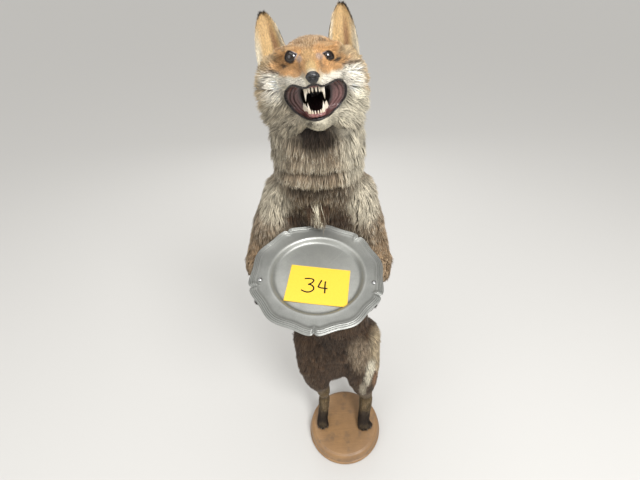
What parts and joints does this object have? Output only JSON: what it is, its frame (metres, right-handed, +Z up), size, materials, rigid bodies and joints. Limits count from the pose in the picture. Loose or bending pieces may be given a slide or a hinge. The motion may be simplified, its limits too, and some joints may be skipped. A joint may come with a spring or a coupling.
{
  "type": "taxidermy fox",
  "caption": "Standing red fox museum mount, mouth open, forepaws holding a scalloped pewter plate with a yellow number card, on a round turned wooden base.",
  "frame": {"origin": "centre of the base's underside, on the floor", "axes": "+Z up through the standing body; the muzzle, the plate and both forepaws point to -Y; the fox's right side is -X; the tail hangs on +Y"},
  "size_m": [0.2963, 0.4289, 1.0311],
  "materials": {
    "wood": "stained and waxed turned wood, worn",
    "pewter": "grey pewter, dull with a soft shine",
    "card": "matt yellow paper card",
    "steel": "bright plated steel",
    "face": "tanned fox skin with orange and cream fur",
    "coat": "tanned fox skin with grey-brown and reddish fur",
    "brush": "tanned fox skin with long white fur",
    "sock": "tanned fox skin with short black-brown fur",
    "eye": "polished near-black taxidermy eye",
    "nose": "glossy black varnished nose leather",
    "tooth": "polished ivory-coloured teeth in pink gums"
  },
  "bodies": {
    "root": {"base_disc": "wood", "plate": "pewter", "lot_card": "card", "plate_screw_right": "steel", "plate_screw_left": "steel", "head": "face", "lower_jaw": "face", "neck": "coat", "chest": "coat", "belly": "coat", "hips": "coat", "tail": "coat", "tail_tip": "brush", "upper_arm_right": "coat", "forearm_right": "coat", "forepaw_right": "sock", "upper_arm_left": "coat", "forearm_left": "coat", "forepaw_left": "sock", "thigh_right": "coat", "shank_right": "coat", "hind_foot_right": "sock", "thigh_left": "coat", "shank_left": "coat", "hind_foot_left": "sock", "ear_right": "face", "ear_left": "face", "eye_right": "eye", "eye_left": "eye", "nose": "nose", "upper_teeth": "tooth", "lower_teeth": "tooth"}
  },
  "joints": []
}
